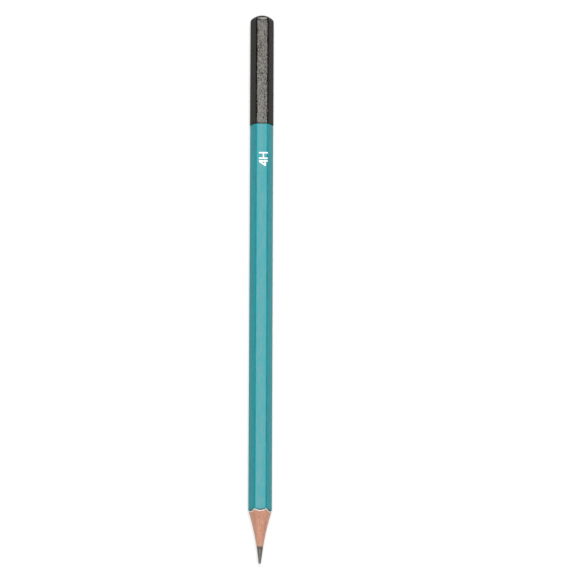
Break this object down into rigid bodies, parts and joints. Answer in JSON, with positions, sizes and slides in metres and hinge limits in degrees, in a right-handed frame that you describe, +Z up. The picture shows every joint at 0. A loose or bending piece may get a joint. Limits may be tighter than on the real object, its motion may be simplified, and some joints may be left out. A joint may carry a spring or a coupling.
{
  "type": "graphite pencil",
  "caption": "Wood-cased graphite pencil: hexagonal lacquered barrel, dipped and domed end, ground point with bare wood and lead.",
  "frame": {"origin": "middle of the pencil's length and width, on the surface that it lies on", "axes": "+X along the barrel towards the tip of the lead, +Z up out of the flat that carries the grade mark, +Y across the flat towards the feet of the grade characters"},
  "size_m": [0.18, 0.0078, 0.007],
  "materials": {
    "case_wood": "bare ground wood, fine straight grain, matt",
    "graphite": "ground graphite and clay, dull metallic sheen",
    "glue": "thin dried glue",
    "primer": "matt white undercoat",
    "teal_lacquer": "glossy lacquer with a slight orange peel",
    "black_dip": "glossy dipped lacquer with small pits",
    "white_foil": "hot-stamped pigment foil, satin"
  },
  "bodies": {
    "root": {"upper_slat": "case_wood", "lower_slat": "case_wood", "graphite_core": "graphite", "glue_film": "glue", "primer_coat": "primer", "lacquer_coat": "teal_lacquer", "dipped_cap": "black_dip", "grade_mark": "white_foil"}
  },
  "joints": []
}
